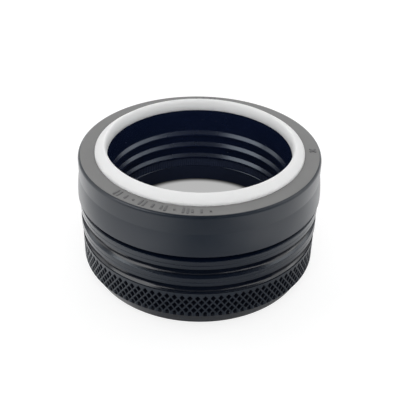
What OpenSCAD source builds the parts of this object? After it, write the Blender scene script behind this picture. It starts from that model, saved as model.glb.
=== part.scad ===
// Combination rod seal, a stack of five rings that fill one hydraulic gland.
// The lips point down, and the part stands on its knurled header ring.
// From the top: anti-extrusion ring, support ring, two vee rings, header ring.

/* [Fit] */
// Diameter of the rod that the seal runs on
rod_d = 50; // [48:0.5:51]
// Radial width of the rubber rings, from the rod to the housing
section_w = 7.8; // [7.3:0.1:8.5]
// Gap between the rod and the plain inner walls
wall_gap = 0.25; // [0.15:0.05:0.4]
// How far each inner lip stands inside the rod diameter
lip_squeeze = 0.6; // [0.3:0.1:0.9]

/* [Support ring] */
// Height of the outer wall of the support ring
support_h = 11.6; // [9:0.1:15]
// Height of the straight collar below its top edge
collar_h = 5.3; // [3.5:0.1:6.5]
// How far the skirt below the collar flares outwards
skirt_flare = 0.6; // [0.2:0.05:0.8]
// Radius of its rounded top edge
top_edge_r = 1; // [0.2:0.05:1.1]

/* [Anti-extrusion ring] */
// Radial width of the white ring
guard_w = 3.3; // [2.6:0.1:4]
// Height of the white ring beside the rod
guard_h = 3.4; // [3.1:0.1:4.2]
// Fall of its top towards the outside, in degrees
guard_slope = 34; // [10:1:36]
// Depth of its seat in the support ring
seat_depth = 1.2; // [0.8:0.1:1.8]
// Radius of its rounded outer shoulder
shoulder_r = 0.5; // [0.3:0.1:0.8]
// Width of its rounded edge beside the rod
guard_edge_w = 0.8; // [0.3:0.1:1.2]
// Height of its rounded edge beside the rod
guard_edge_h = 2.2; // [0.6:0.1:2.6]
// Gap all round between the white ring and its seat
seat_gap = 0.02; // [0.01:0.01:0.1]

/* [Vee rings] */
// Height that the upper vee ring adds to the outside of the stack
upper_outer_h = 4.1; // [3.8:0.1:5]
// Height that it adds beside the rod
upper_inner_h = 3.9; // [3.3:0.1:4.2]
// Height that it adds at the crest
upper_crest_h = 4.3; // [3.6:0.1:5]
// Height that the lower vee ring adds to the outside of the stack
lower_outer_h = 5.3; // [4.4:0.1:6]
// Height that it adds beside the rod
lower_inner_h = 3.9; // [3.3:0.1:4.5]
// Height that it adds at the crest
lower_crest_h = 4.3; // [3.6:0.1:5]
// How far each outer lip stands out from the plain outside of the rings
lip_proud = 0.2; // [0.1:0.05:0.4]
// Height of the straight land on each outer lip
land_h = 2.4; // [1.6:0.1:2.6]
// Depth of the neck between the outer lips
neck_depth = 1.5; // [0.9:0.1:2]
// Rise of the cut-back end face of each outer lip
outer_cut = 1.2; // [0.8:0.1:1.4]
// Rise of the cut-back end face of each inner lip
inner_cut = 0.8; // [0.4:0.1:1]
// Height of the straight tip on each inner lip
tip_h = 0.5; // [0.3:0.1:0.7]
// Height of the sloping flank above each inner lip
flank_h = 1.6; // [1.2:0.1:2.1]
// Distance from the inner walls to the crest of the vees
crest_inset = 2.6; // [2:0.1:3.2]
// Width of the flat on each crest
crest_flat = 0.8; // [0.4:0.1:1.2]
// Number of fine score lines round each outer lip
scores = 1; // [1:1:3]
// Width of each score line
score_w = 0.4; // [0.2:0.05:0.45]
// Depth of each score line
score_depth = 0.08; // [0.05:0.01:0.2]

/* [Header ring] */
// Height of the outer wall of the header ring
header_outer_h = 14.4; // [13.8:0.1:17]
// Height of its inner wall
header_inner_h = 18; // [17:0.1:19.5]
// Height of its crest
header_crest_h = 20.8; // [20:0.1:22]
// Depth of its rim below the face of the knurl
rim_step = 0.2; // [0.1:0.05:0.3]
// Width of the tapered nose below the rim
nose_w = 2.2; // [1:0.1:3]
// Height of the tapered nose
nose_h = 4.3; // [2:0.1:4.4]
// Rounding at the foot of the nose
nose_round = 0.7; // [0.3:0.1:0.9]
// Bevel round the mouth of its bore
mouth_bevel = 0.7; // [0.4:0.1:1.2]
// Height of the fine bead round its inner wall
bead_z = 14.9; // [9:0.1:16]
// How far that bead stands out
bead_proud = 0.15; // [0.1:0.05:0.2]

/* [Knurl] */
// Number of knurl pits round the ring
knurl_count = 104; // [60:1:108]
// Full rows of pits, above one row that the rim cuts in half
knurl_rows = 4; // [2:1:4]
// Height between one row of pits and the next
knurl_pitch = 1.29; // [1:0.01:1.3]
// Height of the lowest row of pits
knurl_z = 5; // [4.9:0.1:5.2]
// Share of each diamond that is pit, and the rest is ridge
pit_share = 0.74; // [0.5:0.01:0.8]
// Depth of the pits
pit_depth = 0.7; // [0.3:0.05:0.9]
// Plain edge above and below the pits
knurl_edge = 0.6; // [0.5:0.05:0.8]

/* [Hidden] */
$fn = 96;
rod_r = rod_d / 2;
ring_r = rod_r + section_w;
lip_r = ring_r + lip_proud;
wall_r = rod_r + wall_gap;
tip_r = rod_r - lip_squeeze;
neck_r = ring_r - neck_depth;
crest_r = wall_r + crest_inset;
guard_r = rod_r + guard_w;
arc_steps = 6;
rubber = "#23262c";

// Heights of the three joints, counted from the header ring upwards
outer_z = [
  header_outer_h,
  header_outer_h + lower_outer_h,
  header_outer_h + lower_outer_h + upper_outer_h
];
inner_z = [
  header_inner_h,
  header_inner_h + lower_inner_h,
  header_inner_h + lower_inner_h + upper_inner_h
];
crest_z = [
  header_crest_h,
  header_crest_h + lower_crest_h,
  header_crest_h + lower_crest_h + upper_crest_h
];
top_z = outer_z[2] + support_h;
seat_z = top_z - seat_depth;
guard_top_z = seat_z + guard_h;

// The knurled sleeve sits in a groove of the header ring
sleeve_low_z = knurl_z - knurl_edge;
sleeve_top_z = knurl_z + (knurl_rows + pit_share) * knurl_pitch + knurl_edge;
rim_r = ring_r - rim_step;
// Rubber left under the pits, and how far the sleeve runs into the ring on its other sides
pit_floor = 0.5;
sleeve_bury = 0.3;
groove_r = ring_r - pit_depth - pit_floor;
sleeve_r = groove_r - sleeve_bury;
// Narrow ledge between the sleeve and the neck above it
ledge_h = 0.1;

// Points on a circular arc, from angle a to angle b
function arc(x, z, r, a, b) = [
  for (i = [0:arc_steps])
    [x + r * cos(a + (b - a) * i / arc_steps), z + r * sin(a + (b - a) * i / arc_steps)]
];

// Points on a bend that leaves p towards the corner c and comes from there to q, without both ends
function bend(p, c, q) = [
  for (i = [1:arc_steps - 1])
    let (t = i / arc_steps)
    (1 - t) * (1 - t) * p + 2 * t * (1 - t) * c + t * t * q
];

// Points on a hollow flank that leaves a wall at p and runs out to q, without both ends
function cove(p, q) = bend(p, [p[0], q[1] + 0.3 * (p[1] - q[1])], q);

function reversed(list) = [for (i = [len(list) - 1:-1:0]) list[i]];

// Where two rings meet, from the rod side over the crest to the housing side
function joint(k) = [
  [wall_r, inner_z[k] + inner_cut],
  [crest_r - crest_flat / 2, crest_z[k]],
  [crest_r + crest_flat / 2, crest_z[k]],
  [neck_r, outer_z[k] + outer_cut]
];

// Outer face of a lip from its land down to its sharp lower edge, with fine score lines
function land(z) = concat(
  [[lip_r, z + land_h]],
  [
    for (i = [scores:-1:1])
      let (s = z + land_h * i / (scores + 1))
      each [[lip_r, s + score_w / 2], [lip_r - score_depth, s], [lip_r, s - score_w / 2]]
  ],
  [[lip_r, z]]
);

// Inner lip from its lower edge up to the plain wall above it
function inner_lip(z) = [
  [tip_r, z],
  [tip_r, z + tip_h],
  [wall_r, z + tip_h + flank_h]
];

// Its top falls outwards in a straight line that both rounded edges run into
module anti_extrusion_ring() {
  edge_a = atan(guard_edge_h / (guard_edge_w * tan(guard_slope)));
  edge = [
    for (i = [0:2 * arc_steps])
      let (a = edge_a + (180 - edge_a) * i / (2 * arc_steps))
      [
        rod_r + guard_edge_w * (1 + cos(a)),
        guard_top_z - guard_edge_h * (1 - sin(a))
      ]
  ];
  shoulder_x = guard_r - shoulder_r;
  fall = (shoulder_x - edge[0][0]) * tan(guard_slope);
  shoulder_z = edge[0][1] - fall - shoulder_r / cos(guard_slope);
  color("whitesmoke")
    rotate_extrude()
      polygon(concat(
        [[rod_r, seat_z], [guard_r, seat_z]],
        arc(shoulder_x, shoulder_z, shoulder_r, 0, 90 - guard_slope),
        edge
      ));
}

module support_ring() {
  skirt_top = [ring_r, top_z - collar_h];
  skirt_low = [ring_r + skirt_flare, outer_z[2]];
  color(rubber)
    rotate_extrude()
      polygon(concat(
        [
          [guard_r + seat_gap, top_z],
          [guard_r + seat_gap, seat_z],
          [wall_r, seat_z]
        ],
        reversed(inner_lip(inner_z[2])),
        joint(2),
        [skirt_low],
        bend(skirt_low, [skirt_low[0], (skirt_low[1] + skirt_top[1]) / 2], skirt_top),
        [skirt_top],
        arc(ring_r - top_edge_r, top_z - top_edge_r, top_edge_r, 0, 90)
      ));
}

// One vee ring between joint k, which it sits on, and joint k + 1
module vee_ring(k) {
  rotate_extrude()
    polygon(concat(
      joint(k + 1),
      cove([neck_r, outer_z[k + 1] + outer_cut], [lip_r, outer_z[k] + land_h]),
      land(outer_z[k]),
      reversed(joint(k)),
      inner_lip(inner_z[k])
    ));
}

module upper_vee_ring() {
  color(rubber)
    vee_ring(1);
}

module lower_vee_ring() {
  color(rubber)
    vee_ring(0);
}

// One point of the knurl, at h half pits round the ring
function knurl_point(h, z, r) =
  let (a = 180 * h / knurl_count)
  [r * cos(a), r * sin(a), z];

// Sleeve with crossing ridges and diamond pits between them. Pits stand where h + row is
// even, ridges cross where it is odd, and row 0 is cut in half by the plain rim below.
module knurled_sleeve() {
  n = knurl_count;
  top = knurl_rows;
  a = pit_share;
  b = pit_share * knurl_pitch;
  deep = ring_r - pit_depth;
  // west, north, east and south corners of each pit, then its deepest point
  pits = [
    for (j = [0:top])
      for (w = [0:n - 1])
        let (h = 2 * w + j % 2, z = knurl_z + j * knurl_pitch)
        each [
          knurl_point(h - a, z, ring_r),
          knurl_point(h, z + b, ring_r),
          knurl_point(h + a, z, ring_r),
          knurl_point(h, j == 0 ? z : z - b, ring_r),
          knurl_point(h, j == 0 ? z + b / 4 : z, deep)
        ]
  ];
  // edges of the sleeve, at the places where ridges cross
  top_h = (top + 1) % 2;
  edges = [
    for (r = [ring_r, sleeve_r])
      for (e = [[sleeve_top_z, top_h], [sleeve_low_z, 1]])
        for (w = [0:n - 1])
          knurl_point(2 * w + e[1], e[0], r)
  ];

  function turn(h) = floor(((h + 2 * n) % (2 * n)) / 2);
  function pit(h, j, corner) = 5 * (j * n + turn(h)) + corner;
  function edge(h, line) = 5 * n * (top + 1) + line * n + turn(h);
  west = 0;
  north = 1;
  east = 2;
  south = 3;
  apex = 4;

  pit_walls = [
    for (j = [0:top])
      for (w = [0:n - 1])
        for (c = [west:south])
          let (h = 2 * w + j % 2)
          [pit(h, j, c), pit(h, j, (c + 1) % 4), pit(h, j, apex)]
  ];
  ridges = [
    for (j = [0:top - 1])
      for (w = [0:n - 1])
        let (h = 2 * w + j % 2, up = j + 1)
        each [
          [pit(h, j, north), pit(h + 1, up, west), pit(h, j, east)],
          [pit(h + 1, up, west), pit(h + 1, up, south), pit(h, j, east)],
          [pit(h, j, north), pit(h, j, west), pit(h - 1, up, east)],
          [pit(h, j, west), pit(h - 1, up, south), pit(h - 1, up, east)]
        ]
  ];
  crossings = [
    for (j = [0:top])
      for (w = [0:n - 1])
        let (
          h = 2 * w + (j + 1) % 2,
          above = j == top ? edge(h, 0) : pit(h, j + 1, south),
          below = j == 0 ? edge(h, 1) : pit(h, j - 1, north)
        )
        each [
          [pit(h - 1, j, east), above, pit(h + 1, j, west)],
          [pit(h - 1, j, east), pit(h + 1, j, west), below]
        ]
  ];
  borders = [
    for (w = [0:n - 1])
      let (h = 2 * w, g = 2 * w + top % 2)
      each [
        [pit(h, 0, west), pit(h, 0, south), edge(h - 1, 1)],
        [pit(h, 0, south), pit(h, 0, east), edge(h + 1, 1)],
        [pit(h, 0, south), edge(h + 1, 1), edge(h - 1, 1)],
        [pit(g, top, west), edge(g - 1, 0), pit(g, top, north)],
        [pit(g, top, north), edge(g - 1, 0), edge(g + 1, 0)],
        [pit(g, top, north), edge(g + 1, 0), pit(g, top, east)]
      ]
  ];
  inner_sides = [
    for (w = [0:n - 1])
      let (h = 2 * w + top_h, g = 2 * w + 1)
      each [
        [edge(h, 0), edge(h, 2), edge(h + 2, 2), edge(h + 2, 0)],
        [edge(g + 2, 1), edge(g + 2, 3), edge(g, 3), edge(g, 1)],
        [edge(h + 2, 2), edge(h, 2), edge(g, 3)],
        [edge(h + 2, 2), edge(g, 3), edge(g + 2, 3)]
      ]
  ];
  polyhedron(
    points = concat(pits, edges),
    faces = concat(pit_walls, ridges, crossings, borders, inner_sides)
  );
}

// Header ring without its knurled sleeve, which fills the groove round it
module header_body() {
  ledge = [rim_r, sleeve_top_z + ledge_h];
  nose = [rim_r, nose_h];
  foot = [rim_r - nose_w, 0];
  nose_low = foot + nose_round * (nose - foot) / norm(nose - foot);
  foot_in = foot - [nose_round, 0];
  rotate_extrude()
    polygon(concat(
      joint(0),
      cove([neck_r, outer_z[0] + outer_cut], ledge),
      [
        ledge,
        [rim_r, sleeve_top_z - sleeve_bury],
        [groove_r, sleeve_top_z - sleeve_bury],
        [groove_r, sleeve_low_z + sleeve_bury],
        [rim_r, sleeve_low_z + sleeve_bury]
      ],
      [nose, nose_low],
      bend(nose_low, foot, foot_in),
      [foot_in],
      [
        [wall_r + mouth_bevel, 0],
        [wall_r, mouth_bevel],
        [wall_r, bead_z - bead_proud],
        [wall_r - bead_proud, bead_z],
        [wall_r, bead_z + bead_proud]
      ]
    ));
}

module header_ring() {
  color(rubber)
    union() {
      header_body();
      knurled_sleeve();
    }
}

anti_extrusion_ring();
support_ring();
upper_vee_ring();
lower_vee_ring();
header_ring();
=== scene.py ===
import math
import bmesh
import bpy
from mathutils import Matrix, Vector


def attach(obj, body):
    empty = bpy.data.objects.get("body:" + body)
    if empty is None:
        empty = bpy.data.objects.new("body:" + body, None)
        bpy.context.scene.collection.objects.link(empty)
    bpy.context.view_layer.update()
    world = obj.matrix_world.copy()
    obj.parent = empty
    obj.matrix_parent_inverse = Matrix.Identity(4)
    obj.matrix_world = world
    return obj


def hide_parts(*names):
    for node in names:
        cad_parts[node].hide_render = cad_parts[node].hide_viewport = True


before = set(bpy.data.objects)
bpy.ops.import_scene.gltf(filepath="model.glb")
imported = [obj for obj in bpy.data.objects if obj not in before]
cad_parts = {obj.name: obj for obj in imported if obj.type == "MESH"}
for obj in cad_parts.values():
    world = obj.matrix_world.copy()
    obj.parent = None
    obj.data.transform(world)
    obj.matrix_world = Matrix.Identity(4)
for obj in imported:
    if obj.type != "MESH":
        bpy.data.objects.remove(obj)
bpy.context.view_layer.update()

mm = 0.001


# node helpers

class NodeTree:
    def __init__(self, owner):
        self.tree = owner.node_tree
        self.tree.nodes.clear()

    def add(self, kind, inputs=None, **settings):
        node = self.tree.nodes.new(kind)
        for name, value in settings.items():
            setattr(node, name, value)
        for name, value in (inputs or {}).items():
            self.join(value, node.inputs[name])
        return node

    def join(self, value, socket):
        if isinstance(value, bpy.types.NodeSocket):
            self.tree.links.new(value, socket)
        else:
            socket.default_value = value

    def math(self, operation, *values):
        node = self.add("ShaderNodeMath", dict(enumerate(values)), operation=operation)
        return node.outputs["Value"]


def newMaterial(name):
    material = bpy.data.materials.new(name)
    material.use_nodes = True
    return material, NodeTree(material)


def scaledColour(colour, share):
    return tuple(share * c for c in colour[:3]) + (1,)


# black rubber, one finish for each kind of surface: turned and grain are strengths of bump,
# ribs is a number of upright ribs round the bore, and sheen tints the reflections

rubberFinishes = {
    "collarRubber": {"colour": (0.0018, 0.0070, 0.0160, 1), "rough": 0.36,
                     "turned": 0.05, "grain": 0.08},
    # painted light: the flat top face gets a pale grey copy of the black rubber, standing in
    # for the light it catches from above and behind
    "faceRubberPaintedLight": {"colour": (0.1700, 0.1700, 0.1690, 1), "rough": 0.62,
                   "turned": 0.04, "grain": 0.12},
    "lipRubber": {"colour": (0.0014, 0.0040, 0.0115, 1), "rough": 0.22,
                  "turned": 0.02, "grain": 0.02, "sheen": (0.88, 0.95, 1.0, 1)},
    # painted shade: deep hollows between the lands get a darker copy of the rubber, with a
    # lower refractive index so that they reflect less
    "coveRubberPaintedShade": {"colour": (0.0010, 0.0028, 0.0080, 1), "rough": 0.17,
                   "turned": 0.02, "grain": 0.02, "ior": 1.42},
    "boreRubber": {"colour": (0.0042, 0.0080, 0.0260, 1), "rough": 0.24,
                   "turned": 0.02, "grain": 0.02, "sheen": (0.80, 0.90, 1.0, 1)},
    "mouthRubber": {"colour": (0.0170, 0.0240, 0.0500, 1), "rough": 0.34,
                    "turned": 0.02, "grain": 0.04},
    "grainedRubber": {"colour": (0.0240, 0.0340, 0.0680, 1), "rough": 0.38,
                      "turned": 0.02, "grain": 0.8, "ribs": 260},
    "knurlRubber": {"colour": (0.0085, 0.0130, 0.0220, 1), "rough": 0.34,
                    "turned": 0.0, "grain": 0.06, "sheen": (0.92, 0.97, 1.0, 1)},
    # painted shade: the knurl pits get a darker copy of the rubber, with a low refractive index
    # so that they read near black
    "pitRubberPaintedShade": {"colour": (0.0008, 0.0016, 0.0045, 1), "rough": 0.50,
                  "turned": 0.0, "grain": 0.2, "ior": 1.16},
    # painted light: the raised marks get a grey copy of the black rubber like the top face, a
    # little darker than it
    "markRubberPaintedLight": {"colour": (0.0980, 0.0990, 0.1020, 1), "rough": 0.56,
                   "turned": 0.0, "grain": 0.12},
}

# what all the rubber finishes share
rubber = {
    "ior": 1.5,
    "sheen": (1, 1, 1, 1),
    "coneSlope": 1.3,
    "ringStretch": 60.0,
    "ringScale": 60.0,
    "grainScale": 3200.0,
    "cloudScale": 110.0,
    "cloudRange": (0.3, 0.7),
    "roughSpread": 0.03,
    "toneSpread": 0.15,
    "dustScale": 260.0,
    "dustSize": 0.03,
    "dustShare": 0.5,
    "dustColour": (0.25, 0.25, 0.24, 1),
    "ribHeight": 0.6,
    "bumpDistance": 0.0001,
}


def makeRubber(name):
    finish = rubberFinishes[name]
    material, n = newMaterial(name)
    place = n.add("ShaderNodeTexCoord").outputs["Object"]
    apart = n.add("ShaderNodeSeparateXYZ", {"Vector": place})
    x, y, z = (apart.outputs[k] for k in "XYZ")
    flat = n.add("ShaderNodeCombineXYZ", {"X": x, "Y": y})
    fromAxis = n.add("ShaderNodeVectorMath", {0: flat.outputs["Vector"]}, operation="LENGTH")
    radius = fromAxis.outputs["Value"]
    # rings that follow the turning on walls, faces and cones alike
    along = n.math("MULTIPLY_ADD", radius, rubber["coneSlope"], z)
    turned = n.add("ShaderNodeCombineXYZ", {
        "X": x, "Y": y, "Z": n.math("MULTIPLY", along, rubber["ringStretch"])})
    rings = n.add("ShaderNodeTexNoise", {
        "Vector": turned.outputs["Vector"], "Scale": rubber["ringScale"], "Detail": 2.0})
    grain = n.add("ShaderNodeTexNoise", {
        "Vector": place, "Scale": rubber["grainScale"], "Detail": 2.0, "Roughness": 0.6})
    cloud = n.add("ShaderNodeTexNoise", {
        "Vector": place, "Scale": rubber["cloudScale"], "Detail": 4.0, "Roughness": 0.6})
    thin, thick = rubber["cloudRange"]
    rough = n.add("ShaderNodeMapRange", {
        "Value": cloud.outputs["Fac"], "From Min": thin, "From Max": thick,
        "To Min": finish["rough"] - rubber["roughSpread"],
        "To Max": finish["rough"] + rubber["roughSpread"]})
    tone = n.add("ShaderNodeMixRGB", {
        "Fac": cloud.outputs["Fac"],
        "Color1": scaledColour(finish["colour"], 1 - rubber["toneSpread"]),
        "Color2": scaledColour(finish["colour"], 1 + rubber["toneSpread"])})
    speck = n.add("ShaderNodeTexVoronoi", {"Vector": place, "Scale": rubber["dustScale"]})
    dust = n.math("LESS_THAN", speck.outputs["Distance"], rubber["dustSize"])
    dusted = n.add("ShaderNodeMixRGB", {
        "Fac": n.math("MULTIPLY", dust, rubber["dustShare"]),
        "Color1": tone.outputs["Color"], "Color2": rubber["dustColour"]})
    turnedBump = n.add("ShaderNodeBump", {
        "Height": rings.outputs["Fac"], "Strength": finish["turned"],
        "Distance": rubber["bumpDistance"]})
    height = grain.outputs["Fac"]
    if "ribs" in finish:
        around = n.math("MULTIPLY", n.math("ARCTAN2", y, x), finish["ribs"])
        rib = n.math("MULTIPLY", n.math("SINE", around), rubber["ribHeight"])
        height = n.math("ADD", height, rib)
    bump = n.add("ShaderNodeBump", {
        "Height": height, "Strength": finish["grain"], "Distance": rubber["bumpDistance"],
        "Normal": turnedBump.outputs["Normal"]})
    shader = n.add("ShaderNodeBsdfPrincipled", {
        "Base Color": dusted.outputs["Color"],
        "Roughness": rough.outputs["Result"],
        "IOR": finish.get("ior", rubber["ior"]),
        "Specular Tint": finish.get("sheen", rubber["sheen"]),
        "Normal": bump.outputs["Normal"],
    })
    n.add("ShaderNodeOutputMaterial", {"Surface": shader.outputs["BSDF"]})
    return material


# waxy white plastic, with light that scatters a little way inside
whitePlastic = {
    "colour": (0.87, 0.875, 0.875, 1),
    "rough": 0.5,
    "ior": 1.38,
    "glowThrough": 1.0,
    "glowDepth": 0.0022,
    "grainScale": 900.0,
    "grain": 0.06,
    "cloudScale": 70.0,
    "toneSpread": 0.02,
}


def makeWhite(name):
    material, n = newMaterial(name)
    place = n.add("ShaderNodeTexCoord").outputs["Object"]
    grain = n.add("ShaderNodeTexNoise", {
        "Vector": place, "Scale": whitePlastic["grainScale"], "Detail": 3.0})
    cloud = n.add("ShaderNodeTexNoise", {
        "Vector": place, "Scale": whitePlastic["cloudScale"], "Detail": 3.0})
    tone = n.add("ShaderNodeMixRGB", {
        "Fac": cloud.outputs["Fac"],
        "Color1": scaledColour(whitePlastic["colour"], 1 - whitePlastic["toneSpread"]),
        "Color2": scaledColour(whitePlastic["colour"], 1 + whitePlastic["toneSpread"])})
    bump = n.add("ShaderNodeBump", {
        "Height": grain.outputs["Fac"], "Strength": whitePlastic["grain"],
        "Distance": rubber["bumpDistance"]})
    shader = n.add("ShaderNodeBsdfPrincipled", {
        "Base Color": tone.outputs["Color"],
        "Roughness": whitePlastic["rough"],
        "IOR": whitePlastic["ior"],
        "Subsurface Weight": whitePlastic["glowThrough"],
        "Subsurface Radius": (1.0, 1.0, 1.0),
        "Subsurface Scale": whitePlastic["glowDepth"],
        "Normal": bump.outputs["Normal"],
    })
    n.add("ShaderNodeOutputMaterial", {"Surface": shader.outputs["BSDF"]})
    return material


materials = {name: makeRubber(name) for name in rubberFinishes}
materials["whitePlastic"] = makeWhite("whitePlastic")
for node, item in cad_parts.items():
    plain = "whitePlastic" if node == "anti_extrusion_ring" else "lipRubber"
    item.data.materials.clear()
    item.data.materials.append(materials[plain])
print("materials done")


# turned rings: a section of rounded corners, spun round the bore

turning = {"steps": 240, "cornerSegments": 8, "inwardFrom": 0.1}


def turnSection(bm, corners):
    # corners are radius, height and rounding in mm, in order round the section
    spots = [(bm.verts.new((r * mm, 0, z * mm)), size) for r, z, size in corners]
    bm.faces.new([spot for spot, size in spots])
    for spot, size in spots:
        if size > 0:
            bmesh.ops.bevel(bm, geom=[spot], offset=size * mm, offset_type="OFFSET",
                            segments=turning["cornerSegments"], profile=0.5,
                            affect="VERTICES", material=-1, clamp_overlap=True)
    bmesh.ops.delete(bm, geom=bm.faces[:], context="FACES_ONLY")
    bmesh.ops.spin(bm, geom=bm.edges[:] + bm.verts[:], cent=(0, 0, 0), axis=(0, 0, 1),
                   dvec=(0, 0, 0), angle=2 * math.pi, steps=turning["steps"],
                   use_merge=True, use_duplicate=False)
    bmesh.ops.recalc_face_normals(bm, faces=bm.faces[:])


def inward(face):
    # true where the face looks at the bore axis by more than about six degrees
    centre = face.calc_center_median()
    towards = -(face.normal.x * centre.x + face.normal.y * centre.y)
    return towards > turning["inwardFrom"] * math.hypot(centre.x, centre.y)


def finishPiece(name, bm, zones, zoneOf, nodes, sharp=32):
    # zones are material names, zoneOf picks one for each face, and an edge stays
    # crisp from sharp degrees on
    for face in bm.faces:
        face.smooth = True
        face.material_index = zones.index(zoneOf(face))
    for edge in bm.edges:
        if len(edge.link_faces) == 2:
            edge.smooth = edge.calc_face_angle() < math.radians(sharp)
    mesh = bpy.data.meshes.new(name)
    bm.to_mesh(mesh)
    bm.free()
    for zone in zones:
        mesh.materials.append(materials[zone])
    piece = bpy.data.objects.new(name, mesh)
    bpy.context.scene.collection.objects.link(piece)
    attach(piece, "root")
    if nodes:
        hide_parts(*nodes)


# sizes that the rings share, in mm: radii, heights of the joints, then the small forms
seal = {
    "rod": 25.0, "ring": 32.8, "lip": 33.0, "wall": 25.25, "tip": 24.4, "neck": 31.3,
    "crest": 27.85,
    "outer": [14.4, 19.7, 23.8],
    "inner": [18.0, 21.9, 25.8],
    "peak": [20.8, 25.1, 29.4],
    "top": 35.4,
    "outerCut": 1.2, "innerCut": 0.8, "crestHalf": 0.4, "jointRound": 0.1,
    "tipHeight": 0.5, "tipRound": 0.06, "flank": 1.05, "flankRound": 0.2,
    "land": 2.4, "landRound": (0.15, 0.08),
    "scoreHalf": 0.2, "scoreDepth": 0.08, "scoreRound": 0.05,
    "coveShare": 0.3, "coveRound": 1.3,
    # depth and height from which the outer hollows get painted shade
    "coveShadeDepth": 0.4, "coveShadeFrom": 10.0,
}


def joint(k):
    # faces that two rings share, from the rod side over the crest to the housing side
    size = seal["jointRound"]
    return [(seal["wall"], seal["inner"][k] + seal["innerCut"], size),
            (seal["crest"] - seal["crestHalf"], seal["peak"][k], size),
            (seal["crest"] + seal["crestHalf"], seal["peak"][k], size),
            (seal["neck"], seal["outer"][k] + seal["outerCut"], size)]


def innerLip(k):
    # from the sharp lower edge up to the plain wall above
    low = seal["inner"][k]
    tipTop = low + seal["tipHeight"]
    return [(seal["tip"], low, seal["tipRound"]),
            (seal["tip"], tipTop, seal["flankRound"]),
            (seal["wall"], tipTop + seal["flank"], seal["flankRound"])]


def outerLand(k):
    # land with one shallow score line, from top to bottom
    low = seal["outer"][k]
    middle = low + seal["land"] / 2
    upperRound, lowerRound = seal["landRound"]
    return [(seal["lip"], low + seal["land"], upperRound),
            (seal["lip"], middle + seal["scoreHalf"], seal["scoreRound"]),
            (seal["lip"] - seal["scoreDepth"], middle, seal["scoreRound"]),
            (seal["lip"], middle - seal["scoreHalf"], seal["scoreRound"]),
            (seal["lip"], low, lowerRound)]


def cove(below, above):
    # hollow between two lands, a little way up from the lower one
    return (seal["neck"], below + seal["coveShare"] * (above - below), seal["coveRound"])


def rubberZone(face):
    if inward(face):
        return "boreRubber"
    # deep outward faces in the hollows get the darker painted-shade copy
    centre = face.calc_center_median()
    deep = math.hypot(centre.x, centre.y) < (seal["ring"] - seal["coveShadeDepth"]) * mm
    return "coveRubberPaintedShade" if deep and centre.z > seal["coveShadeFrom"] * mm else "lipRubber"


# white ring

whiteRing = {"width": 3.3, "seat": 34.2, "top": 37.6, "slope": 34, "edge": (0.8, 2.2),
             "edgeSteps": 14, "shoulder": 0.5, "seatRound": 0.15}


def makeWhiteRing():
    # the inner edge is a quarter of an ellipse that runs on into the sloping top
    size = whiteRing
    wide, high = size["edge"]
    rod, steps = seal["rod"], size["edgeSteps"]
    slope = math.tan(math.radians(size["slope"]))
    turn = math.atan(high / (wide * slope))
    edge = [(rod + wide * (1 + math.cos(a)), size["top"] - high * (1 - math.sin(a)), 0)
            for a in (math.pi + (turn - math.pi) * i / steps for i in range(steps + 1))]
    outside = rod + size["width"]
    fall = (outside - edge[-1][0]) * slope
    seat = [(outside, size["seat"], size["seatRound"]), (rod, size["seat"], size["seatRound"])]
    bm = bmesh.new()
    turnSection(bm, seat + edge + [(outside, edge[-1][1] - fall, size["shoulder"])])
    finishPiece("whiteRing", bm, ["whitePlastic"], lambda face: "whitePlastic",
                ["anti_extrusion_ring"])


# support ring

supportRing = {"seat": 34.2, "seatWall": 28.32, "seatRound": 0.12, "collarLow": 30.1,
               "edge": 1.0, "flare": 0.6, "flareRound": 3.0, "paintedFaceDepth": 0.4, "paintedFaceLevel": 0.9}


def makeSupportRing():
    size = supportRing
    ring, low, small = seal["ring"], seal["outer"][2], seal["jointRound"]
    skirt = ring + size["flare"]
    corners = [(size["seatWall"], seal["top"], size["seatRound"]),
               (size["seatWall"], size["seat"], small), (seal["wall"], size["seat"], small)]
    corners += innerLip(2)[::-1] + joint(2)
    corners += [(skirt, low, small),
                (skirt, (low + size["collarLow"]) / 2, size["flareRound"]),
                (ring, size["collarLow"], small),
                (ring, seal["top"], size["edge"])]
    bm = bmesh.new()
    turnSection(bm, corners)

    def zoneOf(face):
        centre = face.calc_center_median()
        if inward(face) and centre.z < size["seat"] * mm:
            return "boreRubber"
        # flat faces at the top take the grey copy of the rubber, painted light
        level = face.normal.z > size["paintedFaceLevel"]
        if level and centre.z > (seal["top"] - size["paintedFaceDepth"]) * mm:
            return "faceRubberPaintedLight"
        return "collarRubber"

    zones = ["collarRubber", "faceRubberPaintedLight", "boreRubber"]
    finishPiece("supportRing", bm, zones, zoneOf, ["support_ring"])


# the two vee rings

def makeVeeRing(name, k, node):
    landTop = seal["outer"][k] + seal["land"]
    corners = joint(k + 1) + [cove(landTop, seal["outer"][k + 1] + seal["outerCut"])]
    corners += outerLand(k) + joint(k)[::-1] + innerLip(k)
    bm = bmesh.new()
    turnSection(bm, corners)
    zones = ["lipRubber", "coveRubberPaintedShade", "boreRubber"]
    finishPiece(name, bm, zones, rubberZone, [node])


# header ring with its knurl

headerRing = {
    "rim": 32.6, "ledgeLift": 0.1,
    "bedDepth": 1.0, "bedInset": 0.3,
    "nose": (2.2, 4.3, 0.7), "noseTopRound": 0.15,
    "mouth": 0.7, "mouthRound": 0.12,
    "bead": (14.9, 0.15), "beadRound": 0.05, "grainInset": 0.2,
}
knurl = {
    "count": 104, "rows": 4, "pitch": 1.29, "first": 5.0, "share": 0.74, "margin": 0.6,
    "ridgeSteps": ((0.45, 0.0), (0.55, -0.07)),
    "wallSteps": ((0.22, -0.42), (0.16, -0.17)),
    "tuck": 0.6, "pitShadeFrom": 0.15, "cells": 12, "merge": 0.01, "slack": 0.1,
    "shift": 3, "spare": (1.5, 2.5), "cutMerge": 1e-7, "level": 1e-6,
}


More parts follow.
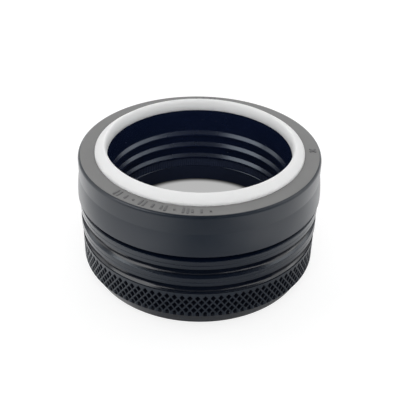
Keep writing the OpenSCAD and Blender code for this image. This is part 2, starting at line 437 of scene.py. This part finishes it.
def makeHeaderRing():
    # the ring has a bed turned into it, which the knurled sleeve covers
    size = headerRing
    low = knurl["first"] - knurl["margin"]
    top = knurl["first"] + (knurl["rows"] + knurl["share"]) * knurl["pitch"] + knurl["margin"]
    rim, wall, small = size["rim"], seal["wall"], seal["jointRound"]
    bed, bedTop, bedLow = rim - size["bedDepth"], top - size["bedInset"], low + size["bedInset"]
    noseWide, noseHigh, noseRound = size["nose"]
    beadZ, proud = size["bead"]
    ledge = top + size["ledgeLift"]
    corners = joint(0)
    corners += [cove(ledge, seal["outer"][0] + seal["outerCut"]), (rim, ledge, small)]
    corners += [(rim, bedTop, 0), (bed, bedTop, 0), (bed, bedLow, 0), (rim, bedLow, 0)]
    corners += [(rim, noseHigh, size["noseTopRound"]), (rim - noseWide, 0, noseRound)]
    corners += [(wall + size["mouth"], 0, size["mouthRound"]),
                (wall, size["mouth"], size["mouthRound"])]
    corners += [(wall, beadZ - proud, 0), (wall - proud, beadZ, size["beadRound"]),
                (wall, beadZ + proud, 0)]
    bm = bmesh.new()
    turnSection(bm, corners)

    def zoneOf(face):
        height = face.calc_center_median().z / mm
        inset = size["grainInset"]
        if inward(face) and beadZ + inset < height < seal["inner"][0] - inset:
            return "grainedRubber"
        if inward(face) and height < beadZ - proud:
            return "mouthRubber"
        return rubberZone(face)

    zones = ["lipRubber", "coveRubberPaintedShade", "boreRubber", "grainedRubber", "mouthRubber"]
    finishPiece("headerRing", bm, zones, zoneOf, ["header_ring"])


def makeKnurl():
    # one flat strip of diamonds, cut to a single pitch and repeated round the ring
    count, rows, cells = knurl["count"], knurl["rows"], knurl["cells"]
    half = seal["ring"] * math.tan(math.pi / count) * mm
    pitch = knurl["pitch"] * mm
    first, margin = knurl["first"] * mm, knurl["margin"] * mm
    ring = seal["ring"] * mm
    bm = bmesh.new()
    bmesh.ops.create_grid(bm, x_segments=cells, y_segments=cells, size=cells / 2)
    quarter = Matrix.Rotation(math.radians(45), 3, "Z")
    bmesh.ops.rotate(bm, verts=bm.verts, cent=(0, 0, 0), matrix=quarter)
    stretch = math.sqrt(2)
    bmesh.ops.scale(bm, verts=bm.verts, vec=(half * stretch, pitch * stretch, 1))

    # x runs round the ring and y up it until the strip is stood up, and y counts the rows
    bmesh.ops.translate(bm, verts=bm.verts, vec=(0, knurl["shift"] * pitch, 0))
    spareLow, spareHigh = knurl["spare"]
    keepLow, keepHigh = -spareLow * pitch, (rows + spareHigh) * pitch
    slack = knurl["slack"]
    far = [f for f in bm.faces if abs(f.calc_center_median().x) > (2 + slack) * half
           or not keepLow < f.calc_center_median().y < keepHigh]
    bmesh.ops.delete(bm, geom=far, context="FACES")
    pits = [f for f in bm.faces
            if -slack * pitch < f.calc_center_median().y < (rows + slack) * pitch]
    ridge = (1 - knurl["share"]) * half * pitch / math.hypot(half, pitch)
    insets = [(share * ridge, depth * mm) for share, depth in knurl["ridgeSteps"]]
    insets += [(thickness * mm, depth * mm) for thickness, depth in knurl["wallSteps"]]
    for thickness, depth in insets:
        bmesh.ops.inset_individual(bm, faces=pits, thickness=thickness, depth=depth,
                                   use_even_offset=True)

    # cut at both sides, below and above
    high = (rows + knurl["share"]) * pitch + margin
    ends = [((half, 0, 0), (1, 0, 0)), ((-half, 0, 0), (-1, 0, 0)),
            ((0, 0, 0), (0, -1, 0)), ((0, high, 0), (0, 1, 0))]
    for spot, way in ends:
        bmesh.ops.bisect_plane(bm, geom=bm.verts[:] + bm.edges[:] + bm.faces[:],
                               dist=knurl["cutMerge"], plane_co=spot, plane_no=way,
                               clear_outer=True)
    stand = Matrix(((0, 0, 1), (1, 0, 0), (0, 1, 0))).to_4x4()
    bmesh.ops.transform(bm, verts=bm.verts, matrix=stand)
    bmesh.ops.translate(bm, verts=bm.verts, vec=(ring, 0, first))

    def boundaryAt(height):
        return [e for e in bm.edges if e.is_boundary
                and all(abs(v.co.z - height) < knurl["level"] for v in e.verts)]

    def extruded(edges):
        made = bmesh.ops.extrude_edge_only(bm, edges=edges)["geom"]
        return [g for g in made if isinstance(g, bmesh.types.BMVert)]

    # a plain margin below, then both rims tucked into the bed
    for vert in extruded(boundaryAt(first)):
        vert.co = Vector((ring, vert.co.y, first - margin))
    highZ = max(v.co.z for v in bm.verts)
    tucked = extruded(boundaryAt(highZ) + boundaryAt(first - margin))
    bmesh.ops.translate(bm, verts=tucked, vec=(-knurl["tuck"] * mm, 0, 0))
    bmesh.ops.spin(bm, geom=bm.verts[:] + bm.edges[:] + bm.faces[:], cent=(0, 0, 0),
                   axis=(0, 0, 1), dvec=(0, 0, 0), angle=2 * math.pi * (count - 1) / count,
                   steps=count - 1, use_merge=False, use_duplicate=True)
    bmesh.ops.remove_doubles(bm, verts=bm.verts[:], dist=knurl["merge"] * mm)
    bmesh.ops.recalc_face_normals(bm, faces=bm.faces[:])
    outwards = sum(f.normal.xy.dot(f.calc_center_median().xy) for f in bm.faces)
    if outwards < 0:
        bmesh.ops.reverse_faces(bm, faces=bm.faces[:])

    # faces sunk into the pits take the darker painted-shade copy
    def zoneOf(face):
        centre = face.calc_center_median()
        deep = math.hypot(centre.x, centre.y) < (seal["ring"] - knurl["pitShadeFrom"]) * mm
        return "pitRubberPaintedShade" if deep else "knurlRubber"

    finishPiece("headerKnurl", bm, ["knurlRubber", "pitRubberPaintedShade"], zoneOf, [],
                sharp=40)


makeWhiteRing()
makeSupportRing()
makeVeeRing("upperVee", 1, "upper_vee_ring")
makeVeeRing("lowerVee", 0, "lower_vee_ring")
makeHeaderRing()
makeKnurl()
print("rings done")


# raised mould marks on the top face: plain bars and pips that spell nothing

# a row starts at an angle and has one sign a step: 1 a long bar, 3 a short one, 6 a pip
marks = {
    "radius": 30.5, "proud": 0.16, "width": 0.55, "bevel": 0.06, "step": 2.05,
    "rows": {-42.0: "11.3.6.11.3.31.6.113.3.6", 172.0: "11.3.6"},
    "lengths": {"1": 2.2, "3": 1.5, "6": 0.6},
    "crossAngle": 89.0, "crossReach": 0.42, "crossLength": 1.1,
}


def addBar(bm, angle, across, radius, length, turned):
    # angle in degrees round the ring from the front, across in mm sideways from there
    def turn(degrees):
        matrix = Matrix.Rotation(math.radians(degrees), 3, "Z")
        bmesh.ops.rotate(bm, verts=bar, cent=(0, 0, 0), matrix=matrix)

    bar = bmesh.ops.create_cube(bm, size=1)["verts"]
    thick = 2 * marks["proud"]
    bmesh.ops.scale(bm, verts=bar, vec=(marks["width"] * mm, length * mm, thick * mm))
    turn(turned)
    bmesh.ops.translate(bm, verts=bar, vec=(across * mm, -radius * mm, seal["top"] * mm))
    turn(angle)


def makeMarks():
    bm = bmesh.new()
    for first, row in marks["rows"].items():
        for k, kind in enumerate(row):
            if kind in marks["lengths"]:
                angle, length = first + k * marks["step"], marks["lengths"][kind]
                addBar(bm, angle, 0, marks["radius"], length, 0)
    reach = marks["crossReach"]
    for across, further in ((reach, reach), (reach, -reach), (-reach, reach), (-reach, -reach)):
        addBar(bm, marks["crossAngle"], across, marks["radius"] + further, marks["crossLength"],
               math.copysign(45, across * further))
    bmesh.ops.bevel(bm, geom=bm.edges[:], offset=marks["bevel"] * mm, offset_type="OFFSET",
                    segments=2, profile=0.5, affect="EDGES", material=-1)
    # the marks take the grey painted-light copy of the rubber
    finishPiece("mouldMarks", bm, ["markRubberPaintedLight"], lambda face: "markRubberPaintedLight", [],
                sharp=60)


makeMarks()
print("marks done")


# studio: white paper under the part, windows at both sides, a dim room behind the camera

# shades and lifts are ramps: where each starts and ends, in metres, and what it ends at
studio = {
    "floorWidth": 6.0,
    "floorShade": 0.78,
    # painted shade: the floor is darker close to the part, and darker again far ahead of it
    "nearShade": (0.034, 0.068, 0.68),
    "frontShade": (0.076, 0.104, 0.35),
    # painted light: in reflections the floor glows paler beside the part, and more so behind it
    "leftPaintedLight": (0.007, 0.052, 0.95),
    "rightPaintedLight": (0.025, 0.070, 0.98),
    "behindPaintedLight": (-0.020, 0.030, 1.35),
    "seenShade": 0.40,
    "seenLift": 0.72,
    "whiteLift": (0.12, 0.7, 1.0),
    "standRadius": 0.0252,
    "standTop": 0.0102,
    "standShade": 0.10,
    "standLift": 0.45,
    "standShadeWidth": 0.0024,
}

# place, size and radiance of each lamp, in metres; glossOnly ones show in reflections
# alone, and matteOnly ones light surfaces alone
lampTarget = (0, 0, 0.02)
softboxes = {
    "backBox": {"at": (0.0, 0.80, 0.62), "size": (1.5, 0.75), "radiance": 1.6,
                "glossOnly": True},
    "topBox": {"at": (0.0, 0.22, 1.0), "size": (1.3, 1.04), "radiance": 0.2},
    "leftWindow": {"at": (-0.78, -0.33, 0.66), "size": (0.75, 0.42), "radiance": 4.2,
                   "glossOnly": True},
    "leftBay": {"at": (-0.86, 0.25, 0.40), "size": (0.45, 0.22), "radiance": 2.0},
    "leftSill": {"at": (-0.97, -0.16, 0.14), "size": (0.5, 0.16), "radiance": 3.0},
    "leftReveal": {"at": (-0.52, -0.71, 0.72), "size": (0.32, 0.15), "radiance": 2.2,
                   "glossOnly": True},
    "rightReveal": {"at": (0.48, -0.74, 0.72), "size": (0.26, 0.12), "radiance": 2.0,
                    "glossOnly": True},
    "rightWindow": {"at": (0.74, -0.46, 0.66), "size": (0.50, 0.15), "radiance": 3.2,
                    "glossOnly": True},
    "rightDoor": {"at": (0.86, -0.02, 0.60), "size": (0.45, 0.45), "radiance": 2.3,
                  "glossOnly": True},
    "rightBay": {"at": (0.86, 0.25, 0.40), "size": (0.45, 0.22), "radiance": 2.2},
    "frontStrip": {"at": (0.0, -0.80, 0.80), "size": (1.5, 0.05), "radiance": 1.4},
    "frontFill": {"at": (0.0, -1.0, 0.62), "size": (1.6, 0.8), "radiance": 2.45,
                  "matteOnly": True},
    "leftFill": {"at": (-1.0, 0.0, 0.62), "size": (1.6, 0.8), "radiance": 0.55,
                 "matteOnly": True},
    "rightFill": {"at": (1.0, 0.0, 0.62), "size": (1.6, 0.8), "radiance": 0.5,
                  "matteOnly": True},
    "backFill": {"at": (0.0, 1.0, 0.62), "size": (1.6, 0.8), "radiance": 0.4,
                 "matteOnly": True},
}


def ramp(n, value, start, end, first, last):
    result = n.add("ShaderNodeMapRange", {
        "Value": value, "From Min": start, "From Max": end, "To Min": first, "To Max": last,
    }, interpolation_type="SMOOTHSTEP")
    return result.outputs["Result"]


def grey(shade):
    return (shade, shade, shade, 1)


def liftedPaper(n, colour, lift):
    # diffuse paper with some light of its own
    glow = n.add("ShaderNodeEmission", {"Color": grey(1), "Strength": lift})
    matte = n.add("ShaderNodeBsdfDiffuse", {"Color": colour})
    both = n.add("ShaderNodeAddShader")
    n.join(matte.outputs["BSDF"], both.inputs[0])
    n.join(glow.outputs["Emission"], both.inputs[1])
    return both.outputs["Shader"]


def pickShader(n, fac, off, on):
    mix = n.add("ShaderNodeMixShader", {"Fac": fac})
    n.join(off, mix.inputs[1])
    n.join(on, mix.inputs[2])
    return mix.outputs["Shader"]


def makeFloorPaper():
    # the camera sees it lifted to white; to the part it carries painted shade, darker close by
    # and far ahead, and painted light, glowing paler in reflections beside and behind the part
    material, n = newMaterial("floorPaper")
    place = n.add("ShaderNodeTexCoord").outputs["Object"]
    apart = n.add("ShaderNodeSeparateXYZ", {"Vector": place})
    rightward, backward = apart.outputs["X"], apart.outputs["Y"]
    leftward = n.math("MULTIPLY", rightward, -1.0)
    ahead = n.math("MULTIPLY", backward, -1.0)
    path = n.add("ShaderNodeLightPath")

    def lift(key, value, first):
        start, end, last = studio[key]
        return ramp(n, value, start, end, first, last)

    nearFrom, nearTo, nearShare = studio["nearShade"]
    far = studio["floorShade"]
    # painted shade close by and far ahead
    shade = n.math("MULTIPLY", lift("frontShade", ahead, 1.0),
                   ramp(n, ahead, nearFrom, nearTo, nearShare * far, far))
    felt = n.add("ShaderNodeCombineColor", {"Red": shade, "Green": shade, "Blue": shade})
    # painted light beside and behind, seen only in reflections
    side = n.math("ADD", lift("leftPaintedLight", leftward, 0.0), lift("rightPaintedLight", rightward, 0.0))
    side = n.math("MULTIPLY", side, lift("behindPaintedLight", backward, 1.0))
    glossy = n.math("MULTIPLY", side, path.outputs["Is Glossy Ray"])
    own = liftedPaper(n, felt.outputs["Color"], glossy)

    away = n.add("ShaderNodeVectorMath", {0: place}, operation="LENGTH").outputs["Value"]
    white = lift("whiteLift", away, studio["seenLift"])
    seen = liftedPaper(n, grey(studio["seenShade"]), white)
    both = pickShader(n, path.outputs["Is Camera Ray"], own, seen)
    n.add("ShaderNodeOutputMaterial", {"Surface": both})
    return material


def makeStandPaper():
    # painted shade: its glow for the camera fades out towards its edge, where the bore wall
    # shades it
    material, n = newMaterial("standPaper")
    place = n.add("ShaderNodeTexCoord").outputs["Object"]
    flat = n.add("ShaderNodeVectorMath", {0: place, 1: (1, 1, 0)}, operation="MULTIPLY")
    fromAxis = n.add("ShaderNodeVectorMath", {0: flat.outputs["Vector"]}, operation="LENGTH")
    edge = studio["standRadius"]
    fade = ramp(n, fromAxis.outputs["Value"], edge - studio["standShadeWidth"], edge, 1.0, 0.0)
    path = n.add("ShaderNodeLightPath")
    seen = n.math("MULTIPLY", path.outputs["Is Camera Ray"], studio["standLift"])
    paper = liftedPaper(n, grey(studio["standShade"]), n.math("MULTIPLY", fade, seen))
    n.add("ShaderNodeOutputMaterial", {"Surface": paper})
    return material


def stageMesh(name, bm, material):
    mesh = bpy.data.meshes.new(name)
    bm.to_mesh(mesh)
    bm.free()
    mesh.materials.append(material)
    piece = bpy.data.objects.new(name, mesh)
    bpy.context.scene.collection.objects.link(piece)


def makeFloor():
    bm = bmesh.new()
    bmesh.ops.create_grid(bm, x_segments=1, y_segments=1, size=studio["floorWidth"] / 2)
    stageMesh("floor", bm, makeFloorPaper())


def makeStand():
    # low round stand inside the bore, as the pale disc in the photograph
    bm = bmesh.new()
    bmesh.ops.create_circle(bm, cap_ends=True, segments=96, radius=studio["standRadius"])
    bmesh.ops.translate(bm, verts=bm.verts, vec=(0, 0, studio["standTop"]))
    stageMesh("stand", bm, makeStandPaper())


def makeLights():
    # a lamp's power follows from its radiance and its area
    for name, box in softboxes.items():
        lamp = bpy.data.lights.new(name, "AREA")
        lamp.shape = "RECTANGLE"
        lamp.size, lamp.size_y = box["size"]
        lamp.energy = box["radiance"] * math.pi * lamp.size * lamp.size_y
        lampObject = bpy.data.objects.new(name, lamp)
        lampObject.visible_glossy = not box.get("matteOnly", False)
        lampObject.visible_diffuse = not box.get("glossOnly", False)
        bpy.context.scene.collection.objects.link(lampObject)
        aim = Vector(lampTarget) - Vector(box["at"])
        turn = aim.to_track_quat("-Z", "Y").to_matrix().to_4x4()
        lampObject.matrix_world = Matrix.Translation(box["at"]) @ turn


# strength of the room's light at the front and the back, and the directions between which
# it changes
room = {
    "front": 0.04,
    "back": 0.6,
    "between": (-0.35, 0.25),
}


def makeRoom():
    # dim behind the camera, pale behind the part, white where the camera sees it
    world = bpy.data.worlds.new("studioRoom")
    world.use_nodes = True
    bpy.context.scene.world = world
    n = NodeTree(world)
    outward = n.add("ShaderNodeTexCoord").outputs["Generated"]
    way = n.add("ShaderNodeSeparateXYZ", {"Vector": outward})
    dimmest, palest = room["between"]
    depth = n.add("ShaderNodeMapRange", {
        "Value": way.outputs["Y"], "From Min": dimmest, "From Max": palest,
        "To Min": room["front"], "To Max": room["back"]})
    dim = n.add("ShaderNodeBackground", {"Color": grey(1), "Strength": depth.outputs["Result"]})
    paper = n.add("ShaderNodeBackground", {"Color": grey(1), "Strength": 1.0})
    path = n.add("ShaderNodeLightPath")
    both = pickShader(n, path.outputs["Is Camera Ray"], dim.outputs["Background"],
                      paper.outputs["Background"])
    n.add("ShaderNodeOutputWorld", {"Surface": both})


# angles in degrees, looking down and a little to the right
camera = {
    "at": (-0.00087, -0.17871, 0.13625),
    "pitch": 33.368,
    "yaw": 0.375,
    "roll": 1.1,
    "lens": 68.1,
    "sensor": 36.0,
    "clip": (0.01, 20.0),
}


def makeCamera():
    pitch, yaw, roll = (math.radians(camera[k]) for k in ("pitch", "yaw", "roll"))
    level = math.cos(pitch)
    ahead = Vector((math.sin(yaw) * level, math.cos(yaw) * level, -math.sin(pitch)))
    right = Vector((math.cos(yaw), -math.sin(yaw), 0))
    up = right.cross(ahead)
    rightRolled = math.cos(roll) * right + math.sin(roll) * up
    upRolled = -math.sin(roll) * right + math.cos(roll) * up
    turn = Matrix((rightRolled, upRolled, -ahead)).transposed().to_4x4()
    data = bpy.data.cameras.new("productCamera")
    data.lens = camera["lens"]
    data.sensor_width = camera["sensor"]
    data.clip_start, data.clip_end = camera["clip"]
    view = bpy.data.objects.new("productCamera", data)
    bpy.context.scene.collection.objects.link(view)
    view.matrix_world = Matrix.Translation(camera["at"]) @ turn
    bpy.context.scene.camera = view


makeFloor()
makeStand()
makeLights()
makeRoom()
makeCamera()
bpy.context.scene.view_settings.view_transform = "Standard"
print("studio done")
